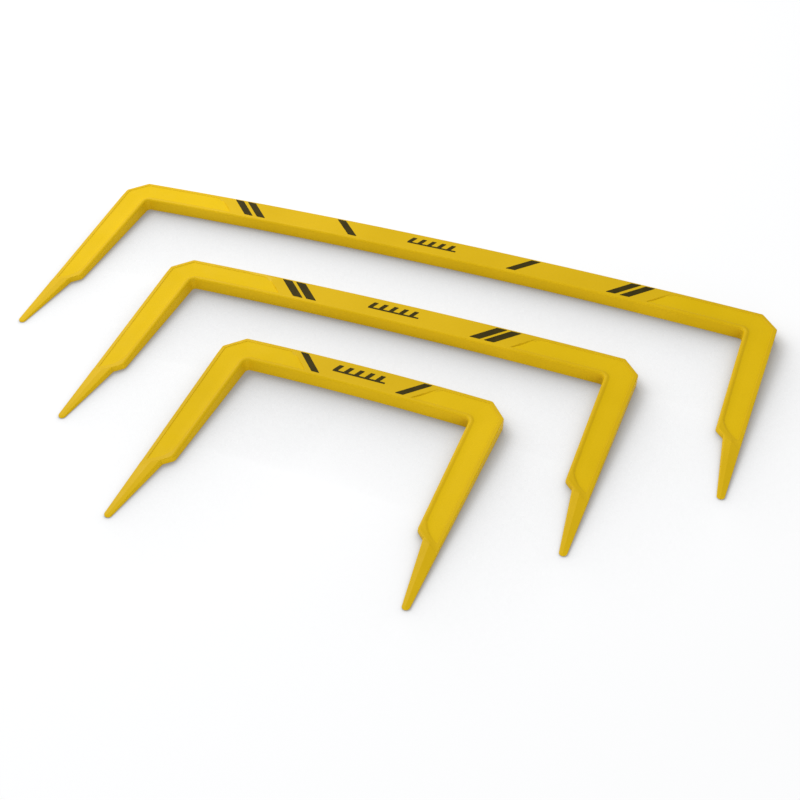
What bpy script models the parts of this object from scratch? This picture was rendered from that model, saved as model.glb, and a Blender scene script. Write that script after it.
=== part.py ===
"""Set of three ground-spike agility hurdles (large, medium, small), lying flat on their backs.

Each hurdle is a one-piece U: a crossbar, two legs and two tapered ground spikes, with dark
stripes and a small emblem printed on the front of the crossbar.
"""
import math

import bmesh
import bpy
from mathutils import Vector

MM = 0.001

# The three sizes: name, outer width, bow of the crossbar, panel reach along the crossbar,
# stripe distances from the middle, stripe width, and where the hurdle lies (x, y, turn about Z
# in radians).
SIZES = [
    ("large", 761.0, 12.0, 112.0, (232.5, 217.2, 104.5), 10.6, (0.0, 0.0, 0.0)),
    ("medium", 525.0, 6.1, 108.0, (119.0, 103.4), 11.6, (3.1, -114.9, -0.001)),
    ("small", 305.0, 3.7, 71.0, (56.8,), 9.0, (8.6, -217.4, -0.016)),
]

LENGTH = 257.7            # crossbar's outer edge to spike tip
THICK = 14.0              # crossbar, back to front
BAR_W = 29.3              # crossbar, outer to inner edge
LEG_TOP_W = 30.6          # leg width at the crossbar
LEG_LOW_W = 27.2          # leg width at the shoulder
SHOULDER_Y = -170.5       # where the leg stops being full width
TIP_TOP = 1.2             # front face's height at the spike tip
CHAMFER = 18.0            # outer corner, both ways
INNER_R = 5.0             # inner corner radius
LEAN_OUT = 0.8            # the outer wall leans out to the front face by this at full thickness
LEAN_IN = 1.0             # and the inner wall by this

RIM_OUT = 3.8             # raised rim round the corner panels, outer side
RIM_IN = 3.0              # inner side
STEP = 0.5                # outer step's run
SLOPE = 6.5               # inner slope's run
STEP_DEPTH = 0.5          # panel floor below the rim at the outer step
PANEL_DEPTH = 1.2         # and at the foot of the inner slope
EDGE_OUT = 1.6            # front edge break, outer side
EDGE_IN = 2.6             # front edge break, inner side
RIDGE = 2.0               # spike ridge above the plain taper

WALL = 3.0                # side walls round the back pockets
SKIN = 3.2                # front skin left over the back pockets
RIB = 2.4                 # ribs between the back pockets
POCKET_PITCH = 62.0
GAP = 0.3                 # air between a print and the face below it
PRINT_T = 0.4
STRIPE_H = 22.9           # stripe's extent across the crossbar
STRIPE_UP = 1.8           # stripe's middle above the crossbar's middle line
MARK_W, MARK_H = 57.0, 10.5
MARK_UP = 3.0
PRINT_X, MARK_X = -0.9, -2.7    # stripes and emblem, sideways from the middle

YELLOW = (0.80, 0.53, 0.012, 1.0)
INK = (0.045, 0.038, 0.018, 1.0)


def clear_scene():
    for ob in list(bpy.data.objects):
        bpy.data.objects.remove(ob, do_unlink=True)


def material(name, colour, roughness):
    mat = bpy.data.materials.new(name)
    mat.use_nodes = True
    bsdf = mat.node_tree.nodes["Principled BSDF"]
    bsdf.inputs["Base Color"].default_value = colour
    bsdf.inputs["Roughness"].default_value = roughness
    bsdf.inputs["Metallic"].default_value = 0.0
    mat.diffuse_color = colour
    return mat


def leg_width(y):
    t = (-y - BAR_W) / (-SHOULDER_Y - BAR_W)
    return LEG_TOP_W + (LEG_LOW_W - LEG_TOP_W) * min(max(t, 0.0), 1.0)


def front_height(y):
    """The front face is level over the crossbar and falls evenly from there to the tip."""
    t = (-y - BAR_W) / (LENGTH - BAR_W)
    return THICK + (TIP_TOP - THICK) * min(max(t, 0.0), 1.0)


def bow(width, amount, x, y):
    """The crossbar curves gently away from the legs."""
    if y < -BAR_W - 12.0:
        return 0.0
    return amount * max(0.0, 1.0 - (2.0 * x / width) ** 2)


def leg_stations():
    """Cuts across a leg from tip to crossbar: outer point, inner point, panel, ridge, skew.

    Points are (distance in from the hurdle's side, y). Skew widens the inner offsets
    where a cut crosses the inner corner at an angle.
    """
    cuts = [
        ((2.4, -LENGTH), (5.0, -LENGTH), 0.0, 1.0, 1.0),
        ((0.8, -LENGTH + 1.1), (6.7, -LENGTH + 1.1), 0.0, 1.0, 1.0),
        ((0.0, -LENGTH + 3.8), (7.7, -LENGTH + 3.8), 0.0, 1.0, 1.0),
        ((0.0, -235.0), (10.4, -235.0), 0.0, 1.0, 1.0),
        ((0.0, -217.0), (13.4, -214.0), 0.0, 1.0, 1.0),
        ((0.0, -204.0), (15.9, -197.0), 0.0, 1.0, 1.0),
        ((0.0, -195.5), (17.9, -183.0), 0.0, 1.0, 1.0),
        ((0.0, -193.0), (18.3, -179.0), 0.0, 0.9, 1.0),
        ((0.0, -190.5), (21.6, -175.8), 0.0, 0.6, 1.0),
        ((0.0, -188.4), (24.4, -173.1), 0.0, 0.3, 1.0),
        ((0.0, -187.0), (26.2, -170.7), 0.0, 0.1, 1.0),
        ((0.0, -186.0), (27.1, -168.0), 0.0, 0.0, 1.0),
        ((0.0, -183.8), (27.3, -165.5), 0.0, 0.0, 1.0),
        ((0.0, -180.5), (27.5, -160.0), 1.0, 0.0, 1.0),
    ]
    for y_out, y_in in ((-150.0, -140.0), (-110.0, -110.0), (-75.0, -75.0), (-45.0, -45.0)):
        cuts.append(((0.0, y_out), (leg_width(y_in), y_in), 1.0, 0.0, 1.0))
    inner = (LEG_TOP_W, -BAR_W)
    arc = INNER_R * (1.0 - math.sqrt(0.5))
    cuts += [
        ((0.0, -31.0), (inner[0], inner[1] - INNER_R), 1.0, 0.0, 1.1),
        ((0.0, -CHAMFER), (inner[0] + 0.3, inner[1] - 3.0), 1.0, 0.0, 1.3),
        ((0.5 * CHAMFER, -0.5 * CHAMFER), (inner[0] + arc, inner[1] - arc), 1.0, 0.0, 1.4),
        ((CHAMFER, 0.0), (inner[0] + 3.0, inner[1] - 0.3), 1.0, 0.0, 1.3),
        ((33.0, 0.0), (inner[0] + INNER_R, inner[1]), 1.0, 0.0, 1.1),
    ]
    return cuts


def crest_line(y):
    """Distance in from the side of the ridge along the spike."""
    return 9.9 - 6.05 * min(max((-181.0 - y) / 74.0, 0.0), 1.0)


def front_corner(out):
    """The outer outline point on the front face, which the outer wall leans out to."""
    x, y = out
    lean = LEAN_OUT * front_height(y) / THICK
    if y < -CHAMFER - 0.01:
        return (x - lean, y)
    if x > CHAMFER + 0.01:
        return (x, y + lean)
    f = x / CHAMFER
    return (x - lean * (1.0 - 0.59 * f), y + lean * (0.41 + 0.59 * f))


def back_corner(inn):
    """The inner outline point on the back face."""
    x, y = inn
    lean = LEAN_IN * front_height(y) / THICK
    if y < -BAR_W - INNER_R - 0.01:
        return (x + lean, y)
    if x > LEG_TOP_W + INNER_R + 0.01:
        return (x, y - lean)
    return (x + 0.7 * lean, y - 0.7 * lean)


def section(out, inn, panel, ridge, skew):
    """Eleven points across one cut, from the outer edge on the back round to the inner one."""
    top = front_corner(out)
    low = back_corner(inn)
    span = Vector((inn[0] - top[0], inn[1] - top[1]))
    width = span.length
    k = min(1.0, width / 27.0)
    peak = 0.42 * width
    if ridge > 0.05:
        peak = width * (crest_line(0.5 * (top[1] + inn[1])) - top[0]) / span.x
    offsets = [
        (0.0, EDGE_OUT * k),
        (EDGE_OUT * k, 0.0),
        (RIM_OUT * k, 0.0),
        ((RIM_OUT + STEP) * k, STEP_DEPTH * panel),
        (peak, 0.5 * (STEP_DEPTH + PANEL_DEPTH) * panel),
        (width - (RIM_IN + SLOPE) * k * skew, PANEL_DEPTH * panel),
        (width - RIM_IN * k * skew, 0.0),
        (width - EDGE_IN * k, 0.0),
        (width, EDGE_IN * k),
    ]
    points = [(out[0], out[1], 0.0)]
    for along, drop in offsets:
        f = along / width
        y = top[1] + span.y * f
        rise = along / peak if along < peak else (width - along) / (width - peak)
        z = front_height(y) - drop + RIDGE * k * ridge * rise
        points.append((top[0] + span.x * f, y, max(z, 0.35)))
    points.append((low[0], low[1], 0.0))
    return points


def frame_sections(width, amount, reach):
    """All cuts of one hurdle from the left tip round to the right tip, as x, y, z in mm."""
    half = 0.5 * width
    side = [section(*cut) for cut in leg_stations()]
    top_z = front_height(0.0)
    for start, panel in ((reach, 1.0), (reach + 1.2, 0.0)):
        side.append(section((start, 0.0), (start + BAR_W, -BAR_W), panel, 0.0, 1.4))
    left = [[(o - half, y, z) for o, y, z in cut] for cut in side]
    right = [[(half - o, y, z) for o, y, z in cut] for cut in reversed(side)]
    clear = half - reach - BAR_W - 6.0
    count = max(2, round(2.0 * clear / 62.0))
    middle = []
    for i in range(count + 1):
        x = -clear + 2.0 * clear * i / count
        cut = section((reach, 0.0), (reach, -BAR_W), 0.0, 0.0, 1.0)
        middle.append([(x, y, z if z < 0.01 else z - front_height(y) + top_z) for _, y, z in cut])
    cuts = left + middle + right
    return [[(x, y + bow(width, amount, x, y), z) for x, y, z in cut] for cut in cuts]


def loft(name, cuts):
    bm = bmesh.new()
    rings = [[bm.verts.new((x * MM, y * MM, z * MM)) for x, y, z in cut] for cut in cuts]
    n = len(rings[0])
    for a, b in zip(rings, rings[1:]):
        for i in range(n):
            j = (i + 1) % n
            bm.faces.new((a[i], a[j], b[j], b[i]))
    bm.faces.new(list(reversed(rings[0])))
    bm.faces.new(rings[-1])
    bmesh.ops.recalc_face_normals(bm, faces=bm.faces[:])
    bmesh.ops.triangulate(bm, faces=[f for f in bm.faces if len(f.verts) > 3])
    return mesh_object(name, bm)


def mesh_object(name, bm):
    mesh = bpy.data.meshes.new(name)
    bm.to_mesh(mesh)
    bm.free()
    ob = bpy.data.objects.new(name, mesh)
    bpy.context.scene.collection.objects.link(ob)
    return ob


def prism(bm, outline, low, tops):
    """Closed prism over a plan outline in mm, with a flat base and a height at each corner."""
    base = [bm.verts.new((x * MM, y * MM, low * MM)) for x, y in outline]
    roof = [bm.verts.new((x * MM, y * MM, z * MM)) for (x, y), z in zip(outline, tops)]
    n = len(outline)
    for i in range(n):
        j = (i + 1) % n
        bm.faces.new((base[i], base[j], roof[j], roof[i]))
    bm.faces.new(list(reversed(base)))
    bm.faces.new(roof)


def pocket_outlines(width, amount):
    """Plan outlines of the cored-out pockets in the hurdle's back."""
    half = 0.5 * width
    start = LEG_TOP_W + RIB
    length = width - 2.0 * start
    count = max(2, round(length / POCKET_PITCH))
    step = (length + RIB) / count
    outlines = []
    for i in range(count):
        x0 = -half + start + i * step
        x1 = x0 + step - RIB
        edge = [(x0, -BAR_W + WALL), (x1, -BAR_W + WALL), (x1, -WALL), (x0, -WALL)]
        outlines.append([(x, y + bow(width, amount, x, y)) for x, y in edge])
    for side in (-1.0, 1.0):
        corner = [(WALL, -BAR_W), (WALL, -CHAMFER - 1.5), (CHAMFER + 1.5, -WALL),
                  (LEG_TOP_W, -WALL), (LEG_TOP_W, -BAR_W + WALL), (LEG_TOP_W - WALL, -BAR_W)]
        outlines.append([(side * (half - o), y) for o, y in corner])
        rows = (-BAR_W - RIB, -68.0, -68.0 - RIB, -104.0, -104.0 - RIB, -138.0)
        for y0, y1 in zip(rows[0::2], rows[1::2]):
            edge = [(WALL, y0), (leg_width(y0) - WALL, y0), (leg_width(y1) - WALL, y1), (WALL, y1)]
            outlines.append([(side * (half - o), y) for o, y in edge])
    return outlines


def cut_pockets(frame, width, amount):
    bm = bmesh.new()
    for outline in pocket_outlines(width, amount):
        tops = [front_height(y) - PANEL_DEPTH - SKIN for _, y in outline]
        prism(bm, outline, -2.0, tops)
    bmesh.ops.recalc_face_normals(bm, faces=bm.faces[:])
    cutter = mesh_object(frame.name + "_pockets", bm)
    cutter.hide_render = True
    cutter.display_type = "WIRE"
    mod = frame.modifiers.new("pockets", "BOOLEAN")
    mod.operation = "DIFFERENCE"
    mod.solver = "EXACT"
    mod.object = cutter
    deps = bpy.context.evaluated_depsgraph_get()
    mesh = bpy.data.meshes.new_from_object(frame.evaluated_get(deps))
    frame.modifiers.clear()
    frame.data = mesh
    bpy.data.objects.remove(cutter, do_unlink=True)


def printed(name, outline):
    bm = bmesh.new()
    low = THICK + GAP
    prism(bm, outline, low, [low + PRINT_T] * len(outline))
    bmesh.ops.recalc_face_normals(bm, faces=bm.faces[:])
    return mesh_object(name, bm)


def stripe_outline(middle, slant, lift, wide):
    """A parallelogram leaning at 45 degrees; slant is +1 or -1."""
    high = 0.5 * STRIPE_H
    half = 0.5 * wide
    corners = ((-half, -high), (half, -high), (half, high), (-half, high))
    level = STRIPE_UP - 0.5 * BAR_W + lift
    return [(PRINT_X + middle + x + slant * y, y + level) for x, y in corners]


def mark_outline(lift):
    """A plain emblem: a base bar with five leaning teeth."""
    rail, tooth, pitch = 2.2, 5.0, 11.5
    tall = MARK_H - rail
    half = 0.5 * MARK_W
    low = -0.5 * MARK_H
    points = [(half, low), (-half, low)]
    points.append((-half, low + rail))
    for i in range(5):
        x = -half + pitch * i
        if i:
            points.append((x, low + rail))
        points.append((x + 0.45 * tall, low + MARK_H))
        points.append((x + 0.45 * tall + tooth, low + MARK_H))
        points.append((x + tooth, low + rail))
    points.append((half, low + rail))
    level = MARK_UP - 0.5 * BAR_W + lift
    return [(MARK_X + x, y + level) for x, y in reversed(points)]


def build_hurdle(name, width, amount, reach, stripes, wide, place, yellow, ink):
    root = bpy.data.objects.new(name + "_hurdle", None)
    bpy.context.scene.collection.objects.link(root)
    root.location = (place[0] * MM, place[1] * MM, 0.0)
    root.rotation_euler = (0.0, 0.0, place[2])
    frame = loft(name + "_frame", frame_sections(width, amount, reach))
    cut_pockets(frame, width, amount)
    frame.data.materials.clear()
    frame.data.materials.append(yellow)
    prints = []
    for side, tag in ((-1.0, "left"), (1.0, "right")):
        for i, distance in enumerate(stripes):
            lift = bow(width, amount, distance, 0.0)
            outline = stripe_outline(side * distance, side, lift, wide)
            prints.append(printed("%s_stripe_%s_%d" % (name, tag, i + 1), outline))
    prints.append(printed(name + "_mark", mark_outline(amount)))
    for ob in prints:
        ob.data.materials.append(ink)
    for ob in [frame] + prints:
        ob.parent = root
    return root, [frame] + prints


def centre_on_origin(roots, objects):
    """Put the origin under the middle of the whole set, on the floor plane."""
    bpy.context.view_layer.update()
    points = [ob.matrix_world @ v.co for ob in objects for v in ob.data.vertices]
    mid = [0.5 * (min(p[i] for p in points) + max(p[i] for p in points)) for i in (0, 1)]
    for root in roots:
        root.location.x -= mid[0]
        root.location.y -= mid[1]
    bpy.context.view_layer.update()


def main():
    clear_scene()
    yellow = material("yellow_plastic", YELLOW, 0.42)
    ink = material("dark_print", INK, 0.55)
    roots, objects = [], []
    for size in SIZES:
        root, parts = build_hurdle(*size, yellow, ink)
        roots.append(root)
        objects += parts
    centre_on_origin(roots, objects)


main()
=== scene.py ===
import math

import bmesh
import bpy
import numpy as np
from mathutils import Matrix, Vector


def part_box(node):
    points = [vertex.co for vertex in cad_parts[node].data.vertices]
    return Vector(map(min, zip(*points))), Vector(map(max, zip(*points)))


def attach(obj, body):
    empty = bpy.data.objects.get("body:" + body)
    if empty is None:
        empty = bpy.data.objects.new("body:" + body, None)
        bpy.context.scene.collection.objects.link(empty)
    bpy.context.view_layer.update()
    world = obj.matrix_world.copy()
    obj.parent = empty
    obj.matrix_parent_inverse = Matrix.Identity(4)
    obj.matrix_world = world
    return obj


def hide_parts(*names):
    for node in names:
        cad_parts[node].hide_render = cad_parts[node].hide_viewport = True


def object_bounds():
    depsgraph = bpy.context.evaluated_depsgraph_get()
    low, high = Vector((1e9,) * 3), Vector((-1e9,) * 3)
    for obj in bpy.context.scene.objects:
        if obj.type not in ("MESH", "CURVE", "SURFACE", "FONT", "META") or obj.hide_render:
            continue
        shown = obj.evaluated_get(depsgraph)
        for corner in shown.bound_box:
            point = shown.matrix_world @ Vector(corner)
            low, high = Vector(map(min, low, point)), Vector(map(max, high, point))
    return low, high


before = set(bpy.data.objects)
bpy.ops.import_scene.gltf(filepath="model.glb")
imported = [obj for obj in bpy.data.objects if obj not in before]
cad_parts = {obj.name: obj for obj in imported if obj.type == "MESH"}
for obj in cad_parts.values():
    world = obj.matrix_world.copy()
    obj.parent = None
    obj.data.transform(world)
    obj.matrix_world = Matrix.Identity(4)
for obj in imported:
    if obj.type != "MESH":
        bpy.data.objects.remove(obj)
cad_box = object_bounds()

MM = 0.001

# Outer width, bow of the crossbar, panel reach along the crossbar, stripe distances from the
# middle, stripe width, turn about Z in radians. Lengths in millimetres, as everywhere below.
SIZES = {
    "large": (761.0, 12.0, 112.0, (232.5, 217.2, 104.5), 10.6, 0.0),
    "medium": (525.0, 6.1, 108.0, (119.0, 103.4), 11.6, -0.001),
    "small": (305.0, 3.7, 71.0, (56.8,), 9.0, -0.016),
}
LENGTH = 257.7            # crossbar's outer edge to spike tip
THICK = 14.0              # crossbar, back to front
BAR_W = 29.3              # crossbar, outer to inner edge
LEG_TOP_W = 30.6          # leg width at the crossbar
LEG_LOW_W = 27.2          # leg width at the shoulder
SHOULDER_Y = -170.5       # where the leg stops being full width
NECK_W, NECK_Y = 18.3, -179.0   # inner corner between shoulder and spike
TIP_TOP = 1.2             # front face's height at the spike tip
TIP_Y, TIP_W = -253.9, 7.6      # where the rounded tip begins, and the spike's width there
CHAMFER = 18.0            # outer corner, both ways
INNER_R = 5.0             # inner corner radius
LEAN_OUT, LEAN_IN = 0.8, 1.0    # how far the side walls lean out at full thickness
RIM_OUT, RIM_IN = 3.8, 3.0      # raised rim round the panels
STEP_W = 0.7              # run of the outer step
END_W = 1.0               # run of the slanted end steps
FOOT_W = 9.3              # run of the whole inner slope
STEEP_W, STEEP = 2.2, 0.56      # run of its steepening part, and that part's share of the drop
PANEL_LOW_Y, PANEL_LEAN = -187.6, 0.78   # panel's low end: y at the side, rise per mm inwards
LOW_SCALE, LOW_R = 1.2, 13.0             # low end's slope against the inner one, corner rounding
STEP_DEPTH, PANEL_DEPTH = 0.5, 1.25      # panel floor at the outer step and at the inner foot
OUTER_R, INNER_EDGE_R, BACK_R = 0.9, 3.0, 0.5   # edge radii: front outer, front inner, back
RIDGE = 2.0               # height of the crest along the spike
CREST_TOP, CREST_TIP = 9.9, 3.85         # crest's distance in from the side, at both its ends
CREST_TOP_Y, CREST_RUN = -181.0, 74.0    # where the crest starts, and its length along y
SPIKE_Y = -170.0          # below this a cut crosses the shoulder or the spike
WALL, SKIN, RIB = 3.0, 3.2, 2.4          # pocket walls, front skin, ribs between pockets
POCKET_PITCH = 62.0       # spacing aimed at for the pockets in the crossbar
INK_T, INK_SUNK = 0.12, 0.08             # print above the face and below it
STRIPE_H, STRIPE_UP = 22.9, 1.8          # stripe's extent across the bar, middle above the bar's
MARK_W, MARK_H, MARK_UP = 57.0, 10.5, 3.0
PRINT_X, MARK_X = -0.9, -2.7             # stripes and emblem, sideways from the middle
TIP_RINGS, TIP_TURN = 9, 10.0            # cuts round the tip, degrees between them
LEAST_GAP = 0.22          # neighbouring cuts are at least this far apart

# Where points lie across a cut: along the outer step and along the inner slope, as shares of each.
STEP_CUTS = (-0.25, 0.0, 0.18, 0.36, 0.54, 0.72, 0.9, 1.1)
SLOPE_CUTS = (0.02, 0.1, 0.18, 0.26, 0.34, 0.42, 0.52, 0.65, 0.8, 1.0)
ROUND_CUTS = 8            # points round a front edge


# ---------------------------------------------------------------- plan curves

def smoothstep(t):
    t = np.clip(t, 0.0, 1.0)
    return t * t * (3.0 - 2.0 * t)


def bow(width, amount, x, y):
    """How far the crossbar's curve moves a point; it fades out below the crossbar."""
    lift = amount * np.clip(1.0 - (2.0 * x / width) ** 2, 0.0, None)
    return lift * smoothstep((y + 75.0) / 40.0)


def leg_width(y):
    t = (-y - BAR_W) / (-SHOULDER_Y - BAR_W)
    return LEG_TOP_W + (LEG_LOW_W - LEG_TOP_W) * np.clip(t, 0.0, 1.0)


def front_height(y):
    """Level over the crossbar, then an even fall to the tip."""
    t = (-y - BAR_W) / (LENGTH - BAR_W)
    return THICK + (TIP_TOP - THICK) * np.clip(t, 0.0, 1.0)


def rounded(points, radius, steps, closed=False):
    """A polyline with its corners replaced by arcs of one radius, or of one each."""
    p = [np.array(q, float) for q in points]
    n = len(p)
    radii = np.broadcast_to(radius, n)
    out = []
    for i, here in enumerate(p):
        if not closed and i in (0, n - 1):
            out.append(here)
            continue
        a, b = p[i - 1] - here, p[(i + 1) % n] - here
        la, lb = np.linalg.norm(a), np.linalg.norm(b)
        a, b = a / la, b / lb
        half = 0.5 * math.acos(float(np.clip(a @ b, -1.0, 1.0)))
        cut = min(radii[i] / math.tan(half), 0.45 * la, 0.45 * lb)
        r = cut * math.tan(half)
        mid = (a + b) / np.linalg.norm(a + b)
        centre = here + mid * (r / math.sin(half))
        start, end = here + a * cut - centre, here + b * cut - centre
        turn = math.pi - 2.0 * half
        for j in range(steps + 1):
            f = j / steps
            w0, w1 = math.sin((1 - f) * turn), math.sin(f * turn)
            out.append(centre + (w0 * start + w1 * end) / math.sin(turn))
    return out


class Path:
    """A plan curve, read by its length from the start."""

    def __init__(self, points):
        self.p = np.array(points, float)
        run = np.linalg.norm(np.diff(self.p, axis=0), axis=1)
        self.s = np.concatenate([[0.0], np.cumsum(run)])

    def at(self, s):
        return np.array([np.interp(s, self.s, self.p[:, i]) for i in (0, 1)])

    def normal(self, s):
        d = self.at(s + 0.25) - self.at(s - 0.25)
        return np.array([-d[1], d[0]]) / np.linalg.norm(d)

    def near(self, point):
        """The length at which the curve passes closest to the point."""
        a, d = self.p[:-1], np.diff(self.p, axis=0)
        t = np.clip(((point - a) * d).sum(1) / np.maximum((d * d).sum(1), 1e-12), 0.0, 1.0)
        i = int(np.argmin(np.linalg.norm(a + d * t[:, None] - point, axis=1)))
        return self.s[i] + t[i] * (self.s[i + 1] - self.s[i])


def plan(width, reach):
    """Outer and inner edges of one half, tip to middle, as (distance in from the side, y),
    and the pairs of points on them that face each other."""
    half = 0.5 * width
    outer = Path(rounded([(0, TIP_Y), (0, -CHAMFER), (CHAMFER, 0), (half, 0)], 2.5, 4))
    inner = Path(rounded([(TIP_W, TIP_Y), (NECK_W, NECK_Y), (LEG_LOW_W, SHOULDER_Y),
                          (LEG_TOP_W, -BAR_W), (half, -BAR_W)], (0, 2.0, 5.0, INNER_R, 0), 12))
    corner = LEG_TOP_W + 0.3 * INNER_R
    pairs = [((0, TIP_Y), (TIP_W, TIP_Y)), ((0, -235), (10.4, -235)), ((0, -217), (13.4, -214)),
             ((0, -204), (15.9, -197)), ((0, -195), (17.8, -184)), ((0, -192.5), (18.9, -178.5)),
             ((0, -188), (24.6, -173.0)), ((0, -185.5), (27.0, -168.5)), ((0, -183), (27.3, -164)),
             ((0, -176), (27.9, -158)),
             ((0, -150), (28.5, -135)), ((0, -110), (leg_width(-110), -110)),
             ((0, -45), (leg_width(-45), -45)), ((0, -31), (LEG_TOP_W, -BAR_W - INNER_R)),
             ((0.5 * CHAMFER, -0.5 * CHAMFER), (corner, -BAR_W - 0.3 * INNER_R)),
             ((33, 0), (LEG_TOP_W + INNER_R, -BAR_W)),
             ((reach - 9, 0), (reach + BAR_W - 9, -BAR_W)),
             ((reach - 2.2, 0), (reach + BAR_W - 2.2, -BAR_W)),
             ((reach + 0.6, 0), (reach + BAR_W + 0.6, -BAR_W)),
             ((reach + BAR_W + 9, 0), (reach + BAR_W + 9, -BAR_W)), ((half, 0), (half, -BAR_W))]
    steps = [5, 5, 4, 5, 4, 8, 5, 7, 9, 8, 5, 6, 4, 8, 8, 8, 5, 11, 6, max(3, int(half / 12))]
    return outer, inner, pairs, steps


def stations(width, reach):
    """Where to cut across one half: lengths along the outer and the inner edge."""
    outer, inner, pairs, steps = plan(width, reach)
    so = np.array([outer.near(np.array(a, float)) for a, _ in pairs])
    si = np.array([inner.near(np.array(b, float)) for _, b in pairs])
    u = np.arange(len(pairs), dtype=float)
    cuts = [i + j / n for i, n in enumerate(steps) for j in range(n)] + [u[-1]]
    cuts += list(np.interp(outer.s, so, u)) + list(np.interp(inner.s, si, u))
    kept = []
    for c in sorted(cuts):
        pos = (np.interp(c, u, so), np.interp(c, u, si))
        if not kept or max(pos[0] - kept[-1][0], pos[1] - kept[-1][1]) > LEAST_GAP:
            kept.append(pos)
    return outer, inner, kept


# ---------------------------------------------------------------- moulded frame

def ridge_at(y):
    """Distance in from the side of the crest along the spike."""
    t = np.clip((CREST_TOP_Y - y) / CREST_RUN, 0.0, 1.0)
    return CREST_TOP + (CREST_TIP - CREST_TOP) * t


def squeezed(offsets, limit):
    """Offsets in from one edge, those past its rounding drawn together to end before the limit."""
    if offsets[-1] <= limit:
        return offsets
    last_round = offsets[ROUND_CUTS - 1]
    c = (limit - last_round) / (offsets[-1] - last_round)
    return offsets[:ROUND_CUTS] + [last_round + (v - last_round) * c for v in offsets[ROUND_CUTS:]]


def crest_share(top, span):
    """Where the crest meets a slanted cut, as a share of the cut, closed in on by repetition."""
    f = 0.5
    for _ in range(8):
        f = (ridge_at(top[1] + span[1] * f) - top[0]) / max(span[0], 1.0)
    return np.clip(f, 0.3, 0.62)


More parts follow.
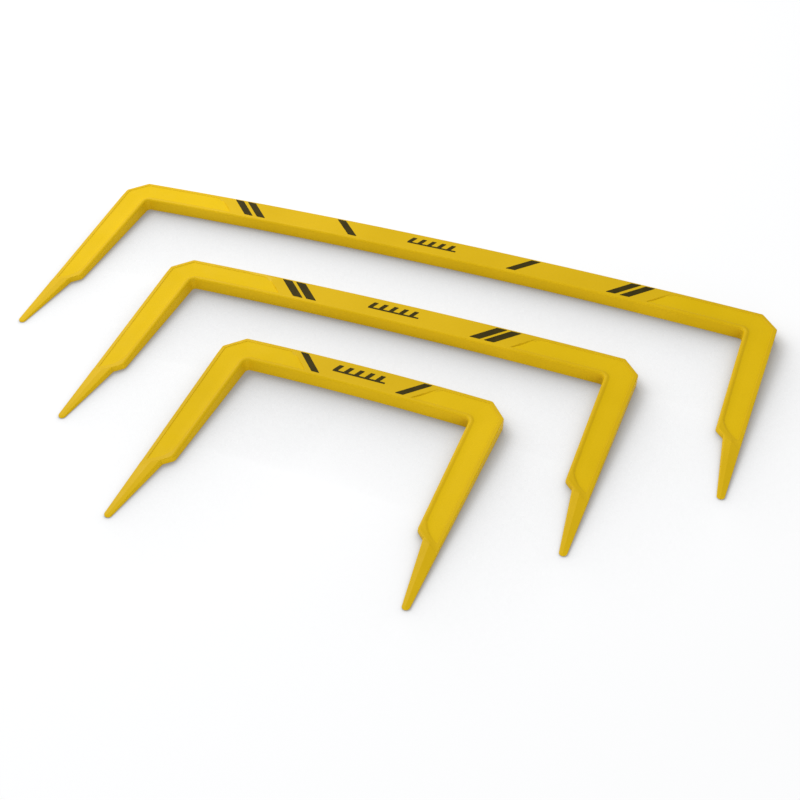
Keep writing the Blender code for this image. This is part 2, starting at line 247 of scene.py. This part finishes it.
def cut_across(out, inn, n_out, n_in, reach, tip=0.0):
    """One closed ring: (o, y, z) points and how far each lies inside the grained panel."""
    top = out + n_out * LEAN_OUT * float(front_height(out[1])) / THICK
    low = inn - n_in * LEAN_IN * float(front_height(inn[1])) / THICK
    span = inn - top
    length = np.linalg.norm(span)
    r = span / length
    skew_o = min(1.0 / max(abs(r @ n_out), 0.2), 2.2)
    skew_i = min(1.0 / max(abs(r @ n_in), 0.2), 2.2)
    true_width = length / max(skew_o, skew_i)
    k = min(1.0, max(true_width / 24.0, 0.04))
    ro, ri, rb = OUTER_R * k, INNER_EDGE_R * k, BACK_R * k
    quarter = [math.radians(90.0 * i / (ROUND_CUTS - 1)) for i in range(ROUND_CUTS)]
    from_out = [ro * (1 - math.cos(a)) for a in quarter]
    from_out += [RIM_OUT * k + STEP_W * k * f for f in STEP_CUTS]
    from_in = [ri * (1 - math.cos(a)) for a in quarter]
    from_in += [k * (RIM_IN + FOOT_W * f) for f in SLOPE_CUTS]
    crest = 0.5 * length
    if out[0] < 1.0 and out[1] < SPIKE_Y:
        crest = crest_share(top, span) * length
    t_out = squeezed([d * skew_o for d in from_out], crest - 0.1 * length)
    t_in = [length - d for d in squeezed([d * skew_i for d in from_in], 0.9 * length - crest)]
    near, far = t_out[-1], t_in[-1]
    pad = min(0.5 * k, 0.3 * (crest - near), 0.3 * (far - crest))
    middle = [near + (crest - pad - near) * g for g in (0.33, 0.67)]
    middle += [crest - pad, crest - 0.4 * pad, crest, crest + 0.4 * pad, crest + pad]
    middle += [crest + pad + (far - crest - pad) * g for g in (0.33, 0.67)]
    t = np.array(t_out + middle + list(reversed(t_in)))
    pos = top + r * t[:, None]
    d_out, d_in = t / skew_o, (length - t) / skew_i
    z = front_height(pos[:, 1])
    # sunk panel
    o, y = pos[:, 0], pos[:, 1]
    d_bar = (reach - (o + y)) / math.sqrt(2.0)
    d_low = (y - PANEL_LOW_Y - PANEL_LEAN * o) / math.hypot(1.0, PANEL_LEAN)
    d_low = np.where(y < -100.0, d_low, 50.0)
    d_rim = d_out - RIM_OUT
    u = np.maximum(4.0 - d_rim, 0.0)
    v = np.maximum(4.0 - d_bar, 0.0)
    d_corner = np.where((u > 0) | (v > 0), 4.0 - np.hypot(u, v), 4.0)
    run = np.where(v > u, END_W, STEP_W)
    soft = np.hypot(np.maximum(LOW_R - (d_in - RIM_IN), 0.0),
                    np.maximum(LOW_R - d_low * LOW_SCALE, 0.0))
    run_in = np.clip(LOW_R - soft, 0.0, FOOT_W)
    steep = STEEP * (run_in / STEEP_W) ** 2
    easing = 1.0 - (1.0 - STEEP) * ((FOOT_W - run_in) / (FOOT_W - STEEP_W)) ** 3
    dish = np.where(run_in < STEEP_W, steep, easing)
    floor_depth = STEP_DEPTH + (PANEL_DEPTH - STEP_DEPTH) * np.clip(d_rim / 14.0, 0.0, 1.0)
    down = smoothstep(d_corner / run)
    if k < 0.999 and out[1] < -190:      # no panel on the spike
        down = np.zeros_like(down)
    z = z - floor_depth * dish * down
    grained = down * smoothstep((run_in - 0.75 * STEEP_W) / 1.0)
    # crest along the spike
    rise = np.where(t < crest, t / crest, (length - t) / (length - crest))
    sharp = np.clip(1.0 - np.abs(t - crest) / max(pad, 1e-6), 0.0, 1.0)
    rise = rise - 0.5 * sharp ** 2 * pad / max(min(crest, length - crest), 1e-6)
    lift = smoothstep((0.3 - d_low) / 5.0)
    z = z + RIDGE * k * lift * rise
    # front edges
    for d, radius in ((d_out, ro), (d_in, ri)):
        e = np.clip(1.0 - d / radius, 0.0, 1.0)
        z = z - radius * (1.0 - np.sqrt(1.0 - e * e))
    z = np.maximum(z * (1.0 - 0.5 * tip), 0.25)
    zo, zi = min(rb, 0.4 * z[0]), min(rb, 0.4 * z[-1])
    back_o = [(rb, 0.0), (0.3 * rb, 0.3 * zo), (0.0, zo)]
    back_i = [(0.0, zi), (0.3 * rb, 0.3 * zi), (rb, 0.0)]
    ring = [(*(out + r * a * skew_o), b) for a, b in back_o]
    ring += [(p[0], p[1], h) for p, h in zip(pos, z)]
    ring += [(*(low - r * a * skew_i), b) for a, b in back_i]
    return ring, [0.0] * 3 + list(grained) + [0.0] * 3


def frame_rings(width, amount, reach):
    """All rings of one hurdle from its left tip round to its right tip."""
    half = 0.5 * width
    outer, inner, kept = stations(width, reach)
    side = []
    for j in range(TIP_RINGS, 0, -1):
        a = math.radians(TIP_TURN * j)
        hw = max(0.5 * TIP_W * math.cos(a), 0.25)
        y = TIP_Y - (LENGTH + TIP_Y) * math.sin(a)
        out, inn = np.array([0.5 * TIP_W - hw, y]), np.array([0.5 * TIP_W + hw, y])
        n = np.array([-1.0, 0.0])
        side.append(cut_across(out, inn, n, n, reach, 1.0 - math.cos(a)))
    for so, si in kept:
        side.append(cut_across(outer.at(so), inner.at(si), outer.normal(so), inner.normal(si), reach))
    left = [([(o - half, y, z) for o, y, z in ring], down) for ring, down in side]
    right = [([(half - o, y, z) for o, y, z in ring], down) for ring, down in reversed(side[:-1])]
    rings = []
    for ring, down in left + right:
        p = np.array(ring)
        p[:, 1] += bow(width, amount, p[:, 0], p[:, 1])
        rings.append((p, down))
    return rings


def placed(points, name):
    """Turns local millimetres into metres in the row frame, turned about Z by the hurdle's own angle."""
    turn = SIZES[name][5]
    p = np.array(points, float) * MM
    c, s = math.cos(turn), math.sin(turn)
    return np.stack([c * p[:, 0] - s * p[:, 1], s * p[:, 0] + c * p[:, 1], p[:, 2]], 1)


def link(name, mesh):
    ob = bpy.data.objects.new(name, mesh)
    bpy.context.scene.collection.objects.link(ob)
    return ob


def lofted(name, rings, shift):
    n = len(rings[0][0])
    verts = np.concatenate([placed(p, name) for p, _ in rings]) + np.array(shift)
    down = np.concatenate([d for _, d in rings])
    faces, slots = [], []
    for i in range(len(rings) - 1):
        for j in range(n):
            k = (j + 1) % n
            quad = (i * n + j, i * n + k, (i + 1) * n + k, (i + 1) * n + j)
            faces.append(quad)
            slots.append(1 if min(down[q] for q in quad) > 0.5 else 0)
    last = (len(rings) - 1) * n
    faces += [tuple(reversed(range(n))), tuple(range(last, last + n))]
    slots += [0, 0]
    mesh = bpy.data.meshes.new(name + "_moulding")
    mesh.from_pydata([tuple(v) for v in verts], [], faces)
    mesh.polygons.foreach_set("material_index", slots)
    bm = bmesh.new()
    bm.from_mesh(mesh)
    bmesh.ops.recalc_face_normals(bm, faces=bm.faces[:])
    bm.to_mesh(mesh)
    bm.free()
    return link(name + "_moulding", mesh)


def pocket_outlines(width, amount):
    """Plan outlines of the cored-out pockets in the back, in local millimetres."""
    half = 0.5 * width
    start = LEG_TOP_W + RIB
    run = width - 2.0 * start
    count = max(2, round(run / POCKET_PITCH))
    step = (run + RIB) / count
    outlines = []
    for i in range(count):
        x0 = -half + start + i * step
        x1 = x0 + step - RIB
        outlines.append([(x0, -BAR_W + WALL), (x1, -BAR_W + WALL), (x1, -WALL), (x0, -WALL)])
    for side in (-1.0, 1.0):
        corner = [(WALL, -BAR_W), (WALL, -CHAMFER - 1.5), (CHAMFER + 1.5, -WALL),
                  (LEG_TOP_W, -WALL), (LEG_TOP_W, -BAR_W + WALL), (LEG_TOP_W - WALL, -BAR_W)]
        outlines.append([(side * (half - o), y) for o, y in corner])
        rows = (-BAR_W - RIB, -68.0, -68.0 - RIB, -104.0, -104.0 - RIB, -138.0)
        for y0, y1 in zip(rows[0::2], rows[1::2]):
            edge = [(WALL, y0), (leg_width(y0) - WALL, y0), (leg_width(y1) - WALL, y1), (WALL, y1)]
            outlines.append([(side * (half - o), y) for o, y in edge])
    return outlines


def core_out(ob, name, shift):
    """Cuts the pockets into the back, with rounded corners and a little draft."""
    width, amount = SIZES[name][:2]
    bm = bmesh.new()
    for outline in pocket_outlines(width, amount):
        loop = np.array(rounded(outline, 2.0, 4, closed=True))
        mid = loop.mean(0)
        levels = []
        for inset, f in ((-0.1, None), (0.0, 0.0), (0.35, 0.86), (0.65, 0.96), (1.3, 1.0)):
            d = loop - mid
            ring = mid + d * (1.0 - inset / np.maximum(np.abs(d).max(0), 1.0))
            lift = bow(width, amount, ring[:, 0], ring[:, 1])
            top = front_height(ring[:, 1]) - PANEL_DEPTH - SKIN
            z = np.full(len(ring), -2.0) if f is None else top * f
            p = placed(np.stack([ring[:, 0], ring[:, 1] + lift, z], 1), name) + np.array(shift)
            levels.append([bm.verts.new(v) for v in p])
        for a, b in zip(levels, levels[1:]):
            for i in range(len(a)):
                j = (i + 1) % len(a)
                bm.faces.new((a[i], a[j], b[j], b[i]))
        bm.faces.new(list(reversed(levels[0])))
        bm.faces.new(levels[-1])
    bmesh.ops.recalc_face_normals(bm, faces=bm.faces[:])
    for f in bm.faces:
        f.material_index = 2
    mesh = bpy.data.meshes.new(name + "_cores")
    bm.to_mesh(mesh)
    bm.free()
    cutter = link(name + "_cores", mesh)
    for m in ob.data.materials:
        mesh.materials.append(m)
    mod = ob.modifiers.new("cores", "BOOLEAN")
    mod.operation, mod.solver, mod.object = "DIFFERENCE", "EXACT", cutter
    deps = bpy.context.evaluated_depsgraph_get()
    made = bpy.data.meshes.new_from_object(ob.evaluated_get(deps))
    ob.modifiers.clear()
    ob.data = made
    bpy.data.objects.remove(cutter, do_unlink=True)


def finish_shading(ob, angle=32.0):
    mesh = ob.data
    mesh.polygons.foreach_set("use_smooth", [True] * len(mesh.polygons))
    mesh.set_sharp_from_angle(angle=math.radians(angle))
    mod = ob.modifiers.new("even normals", "WEIGHTED_NORMAL")
    mod.keep_sharp = True
    mod.weight = 60


# ---------------------------------------------------------------- prints

def prism(name, size, outline, low, top, shift):
    bm = bmesh.new()
    edge = [(x, y, low) for x, y in outline]
    brim = [(x, y, top - 0.04) for x, y in outline]
    mid = np.array(outline).mean(0)
    face = [(*(mid + (np.array(q) - mid) * 0.995), top) for q in outline]
    rows = [[bm.verts.new(v) for v in placed(ring, size) + np.array(shift)]
            for ring in (edge, brim, face)]
    n = len(outline)
    for a, b in zip(rows, rows[1:]):
        for i in range(n):
            bm.faces.new((a[i], a[(i + 1) % n], b[(i + 1) % n], b[i]))
    bm.faces.new(list(reversed(rows[0])))
    bm.faces.new(rows[-1])
    bmesh.ops.recalc_face_normals(bm, faces=bm.faces[:])
    bmesh.ops.triangulate(bm, faces=[f for f in bm.faces if len(f.verts) > 4])
    mesh = bpy.data.meshes.new(name)
    bm.to_mesh(mesh)
    bm.free()
    return link(name, mesh)


def stripe_outline(middle, slant, lift, wide):
    high = 0.5 * STRIPE_H
    half = 0.5 * wide
    corners = ((-half, -high), (half, -high), (half, high), (-half, high))
    level = STRIPE_UP - 0.5 * BAR_W + lift
    plan_points = [(PRINT_X + middle + x + slant * y, y + level) for x, y in corners]
    return rounded(plan_points, 0.45, 3, closed=True)


def mark_outline(lift):
    """A plain emblem: a base bar with five leaning teeth."""
    rail, tooth, pitch = 2.2, 5.0, 11.5
    tall = MARK_H - rail
    half, low = 0.5 * MARK_W, -0.5 * MARK_H
    points = [(half, low), (-half, low), (-half, low + rail)]
    for i in range(5):
        x = -half + pitch * i
        if i:
            points.append((x, low + rail))
        points.append((x + 0.45 * tall, low + MARK_H))
        points.append((x + 0.45 * tall + tooth, low + MARK_H))
        points.append((x + tooth, low + rail))
    points.append((half, low + rail))
    level = MARK_UP - 0.5 * BAR_W + lift
    return rounded([(MARK_X + x, y + level) for x, y in reversed(points)], 0.35, 2, closed=True)


# ---------------------------------------------------------------- materials

class Nodes:
    """Short calls for wiring a node tree."""

    def __init__(self, name, rough):
        self.mat = bpy.data.materials.new(name)
        self.mat.use_nodes = True
        self.tree = self.mat.node_tree
        self.bsdf = self.tree.nodes["Principled BSDF"]
        self.bsdf.inputs["Roughness"].default_value = rough
        self.bsdf.inputs["Specular IOR Level"].default_value = 0.08

    def add(self, kind, **inputs):
        node = self.tree.nodes.new(kind)
        for key, value in inputs.items():
            key = key.replace("_", " ")
            if key in node.inputs:
                self.set(node.inputs[key], value)
            else:
                setattr(node, key.replace(" ", "_"), value)
        return node

    def set(self, socket, value):
        if hasattr(value, "is_output") or hasattr(value, "links"):
            self.tree.links.new(value, socket)
        else:
            socket.default_value = value

    def noise(self, scale, detail=2.0, rough=0.5):
        if not hasattr(self, "coord"):
            self.coord = self.add("ShaderNodeTexCoord").outputs["Object"]
        return self.add("ShaderNodeTexNoise", Vector=self.coord, Scale=scale, Detail=detail,
                        Roughness=rough).outputs["Fac"]

    def ramp(self, value, low, high, to_low, to_high):
        node = self.add("ShaderNodeMapRange", Value=value, From_Min=low, From_Max=high,
                        To_Min=to_low, To_Max=to_high)
        return node.outputs["Result"]

    def mix(self, factor, a, b):
        node = self.tree.nodes.new("ShaderNodeMix")
        node.data_type = "RGBA"
        self.set(node.inputs[0], factor)
        self.set(node.inputs[6], a)
        self.set(node.inputs[7], b)
        return node.outputs[2]

    def bump(self, height, strength, distance, normal=None):
        node = self.add("ShaderNodeBump", Strength=strength, Distance=distance, Height=height)
        if normal is not None:
            self.tree.links.new(normal, node.inputs["Normal"])
        return node.outputs["Normal"]


def plastic(name, colour, rough, grain, grain_depth):
    """Satin moulded plastic: flow marks, fine grain, slight colour drift, painted highlights on sharp
    edges, painted shade in creases.
    """
    n = Nodes(name, rough)
    broad = n.noise(9.0, 3.0)
    fine = n.noise(grain, 2.0, 0.6)
    dark = tuple(c * 0.93 for c in colour[:3]) + (1.0,)
    pale = (min(1.0, colour[0] * 1.04), colour[1] * 1.05, colour[2] * 1.3 + 0.004, 1.0)
    base = n.mix(n.ramp(broad, 0.3, 0.7, 0.0, 1.0), dark, pale)
    speck = n.mix(n.ramp(fine, 0.35, 0.7, 0.0, 0.35), base, tuple(c * 0.86 for c in colour[:3]) + (1.0,))
    pointiness = n.add("ShaderNodeNewGeometry").outputs["Pointiness"]
    # Painted highlight: sharp convex edges are lightened, standing in for light caught along the edges.
    edge = n.ramp(pointiness, 0.53, 0.62, 0.0, 0.45)
    # Painted shade: creases, steps and grooves are darkened to two thirds of the colour, standing in for
    # the shade that gathers in them.
    crease = n.ramp(pointiness, 0.495, 0.46, 0.0, 0.6)
    edge_highlighted = n.mix(edge, speck, (min(1.0, colour[0] * 1.12), colour[1] * 1.2, colour[2] + 0.05, 1.0))
    crease_shaded = n.mix(crease, edge_highlighted, tuple(c * 0.66 for c in colour[:3]) + (1.0,))
    n.tree.links.new(crease_shaded, n.bsdf.inputs["Base Color"])
    n.tree.links.new(n.ramp(n.noise(60.0, 4.0), 0.3, 0.7, rough - 0.05, rough + 0.06),
                     n.bsdf.inputs["Roughness"])
    flow = n.bump(n.noise(22.0, 2.0), 0.12, 0.0004)
    n.tree.links.new(n.bump(fine, 0.35, grain_depth, flow), n.bsdf.inputs["Normal"])
    return n.mat


def ink(name, colour):
    """Dark print: slight unevenness in tone and gloss, a faint film texture."""
    n = Nodes(name, 0.5)
    tone = n.mix(n.ramp(n.noise(160.0, 4.0), 0.3, 0.7, 0.0, 1.0), colour,
                 tuple(c * 1.4 for c in colour[:3]) + (1.0,))
    n.tree.links.new(tone, n.bsdf.inputs["Base Color"])
    n.tree.links.new(n.ramp(n.noise(500.0, 2.0), 0.3, 0.7, 0.42, 0.6), n.bsdf.inputs["Roughness"])
    n.tree.links.new(n.bump(n.noise(1400.0, 2.0), 0.2, 0.00005), n.bsdf.inputs["Normal"])
    return n.mat


# ---------------------------------------------------------------- build

satin = plastic("yellow_satin", (0.80, 0.505, 0.003, 1.0), 0.48, 900.0, 0.00004)
panel = plastic("yellow_grained_panel", (0.86, 0.555, 0.001, 1.0), 0.62, 1100.0, 0.00012)
core = plastic("yellow_core", (0.80, 0.505, 0.003, 1.0), 0.52, 500.0, 0.00006)
dark = ink("dark_print_ink", (0.040, 0.029, 0.002, 1.0))

for size, (width, amount, reach, stripes, wide, _) in SIZES.items():
    body = size + "_hurdle"
    rings = frame_rings(width, amount, reach)
    local = placed(np.concatenate([p for p, _ in rings]), size)
    low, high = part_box(size + "_frame")
    shift = (0.5 * (low.x + high.x) - 0.5 * (local[:, 0].min() + local[:, 0].max()),
             low.y - local[:, 1].min(), low.z)
    shape = lofted(size, rings, shift)
    for m in (satin, panel, core):
        shape.data.materials.append(m)
    core_out(shape, size, shift)
    finish_shading(shape)
    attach(shape, body)
    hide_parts(size + "_frame")
    outlines = {size + "_mark": mark_outline(amount)}
    for side, tag in ((-1.0, "left"), (1.0, "right")):
        for i, distance in enumerate(stripes):
            lift = amount * (1.0 - (2.0 * distance / width) ** 2)
            node = "%s_stripe_%s_%d" % (size, tag, i + 1)
            outlines[node] = stripe_outline(side * distance, side, lift, wide)
    for node, outline in outlines.items():
        film = prism(node + "_ink", size, outline, THICK - INK_SUNK, THICK + INK_T, shift)
        film.data.materials.append(dark)
        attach(film, body)
        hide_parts(node)

# ---------------------------------------------------------------- room

def area_light(name, at, size, power):
    """A round soft light aimed at the middle of the set."""
    data = bpy.data.lights.new(name, "AREA")
    data.shape, data.size, data.energy = "DISK", size, power
    ob = bpy.data.objects.new(name, data)
    ob.location = at
    ob.rotation_euler = (-Vector(at)).to_track_quat("-Z", "Y").to_euler()
    bpy.context.scene.collection.objects.link(ob)


scene = bpy.context.scene
world = bpy.data.worlds.new("studio")
scene.world = world
world.use_nodes = True
background = world.node_tree.nodes["Background"]
background.inputs["Color"].default_value = (0.97, 0.99, 1.03, 1.0)
background.inputs["Strength"].default_value = 0.50
area_light("key", (-1.2, 0.7, 1.45), 1.05, 23.0)
area_light("fill", (1.2, -2.6, 0.45), 1.0, 20.0)

FLOOR = 6.0               # half the floor's side, in metres
floor_mesh = bpy.data.meshes.new("floor")
floor_mesh.from_pydata([(-FLOOR, -FLOOR, 0), (FLOOR, -FLOOR, 0), (FLOOR, FLOOR, 0), (-FLOOR, FLOOR, 0)],
                       [], [(0, 1, 2, 3)])
floor = link("floor", floor_mesh)
floor.location.z = cad_box[0][2] - 0.0002
pale = Nodes("pale_floor", 0.9)
pale.bsdf.inputs["Base Color"].default_value = (0.30, 0.30, 0.30, 1.0)
pale.bsdf.inputs["Emission Color"].default_value = (1.0, 1.0, 1.0, 1.0)
# Painted shadow: the floor's glow fades where the hurdles close it in, looking up and to the back left,
# so the contact shadows are painted into its emission.
towards = pale.add("ShaderNodeCombineXYZ", X=-0.31, Y=0.65, Z=0.69)
nearby = pale.add("ShaderNodeAmbientOcclusion", Distance=0.12, samples=12)
pale.tree.links.new(towards.outputs[0], nearby.inputs["Normal"])
openness = pale.ramp(nearby.outputs["AO"], 0.42, 0.985, 0.0, 1.0)
eased = pale.add("ShaderNodeMath", operation="POWER")
pale.set(eased.inputs[0], openness)
pale.set(eased.inputs[1], 1.45)
pale.set(pale.bsdf.inputs["Emission Strength"],
         pale.ramp(eased.outputs[0], 0.0, 1.0, 0.16, 0.74))
floor_mesh.materials.append(pale.mat)

camera = bpy.data.objects.new("camera", bpy.data.cameras.new("camera"))
camera.data.sensor_width = 36.0
camera.data.lens = 63.26
camera.data.shift_x, camera.data.shift_y = -0.000625, 0.000625
camera.data.clip_end = 50.0
camera.location = (0.4598, -0.9403, 0.9515)
camera.rotation_euler = (0.82136, 0.03141, 0.38047)
scene.collection.objects.link(camera)
scene.camera = camera
scene.view_settings.view_transform = "Standard"
scene.view_settings.look = "None"
